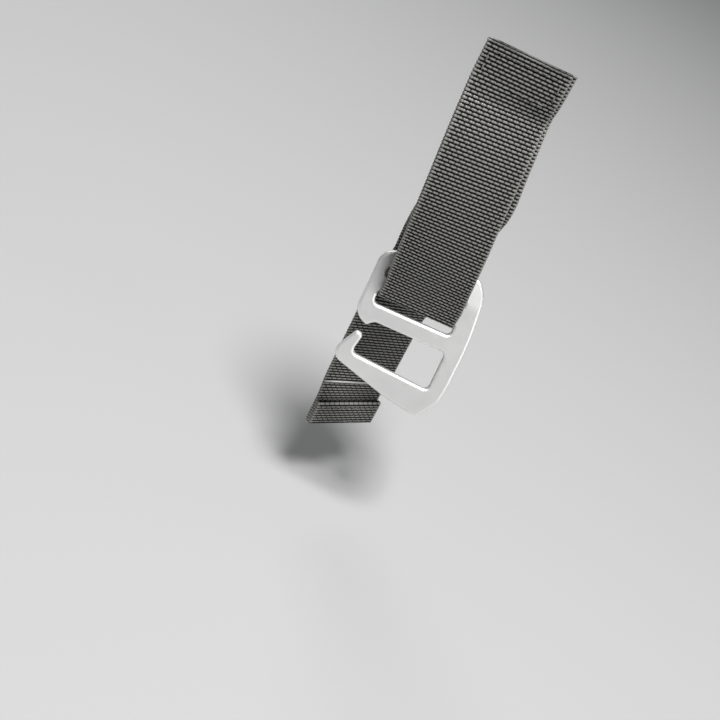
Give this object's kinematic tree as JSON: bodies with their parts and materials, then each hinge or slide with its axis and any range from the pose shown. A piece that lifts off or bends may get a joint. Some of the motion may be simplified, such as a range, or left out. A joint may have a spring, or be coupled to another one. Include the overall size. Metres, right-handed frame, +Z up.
{
  "type": "webbing strap with g-hook",
  "caption": "Flat metal G-hook with two webbing slots on a wide woven strap; the strap's free tail hangs behind and ends in a folded, sewn stop",
  "frame": {"origin": "middle of the strap's top end, where it is sewn to a bag", "axes": "+Z up along the hanging strap, +X along the hook's bars to the right, -Y the front"},
  "size_m": [0.0556, 0.0417, 0.2132],
  "materials": {
    "aluminium_plate": "bead-blasted and clear anodised, satin",
    "webbing": "woven nylon webbing with a slight sheen",
    "thread": "bonded sewing thread"
  },
  "bodies": {
    "anchor": {"strap_anchor": "webbing", "anchor_stitches": "thread"},
    "strap": {"front_run": "webbing", "return_run": "webbing", "tail_top": "webbing"},
    "hook": {"hook": "aluminium_plate", "bar_wrap": "webbing"},
    "tail": {"tail_shoulder": "webbing"},
    "hanging_tail": {"tail_hanging": "webbing"},
    "tail_stop": {"tail_end": "webbing", "stop_fold": "webbing", "stop_stitches": "thread"}
  },
  "joints": [
    {"name": "strap_swing", "type": "hinge", "parent": "anchor", "child": "strap", "pos_m": [0, 0, -0.0202], "axis": [1, 0, 0], "range_deg": [-60, 60]},
    {"name": "hook_swing", "type": "hinge", "parent": "strap", "child": "hook", "pos_m": [0.007, -0.00422, -0.11134], "axis": [-1, 0, 0], "range_deg": [-10, 75]},
    {"name": "tail_swing", "type": "hinge", "parent": "strap", "child": "tail", "pos_m": [0.00292, -0.00573, -0.0582], "axis": [1, 0, 0], "range_deg": [0, 60]},
    {"name": "tail_flex", "type": "hinge", "parent": "tail", "child": "hanging_tail", "pos_m": [0.0054, 0.01513, -0.10924], "axis": [1, 0, 0], "range_deg": [0, 70]},
    {"name": "end_flex", "type": "hinge", "parent": "hanging_tail", "child": "tail_stop", "pos_m": [-0.0005, 0.01433, -0.16724], "axis": [0.8572, 0.515, 0], "range_deg": [-35, 60]}
  ]
}
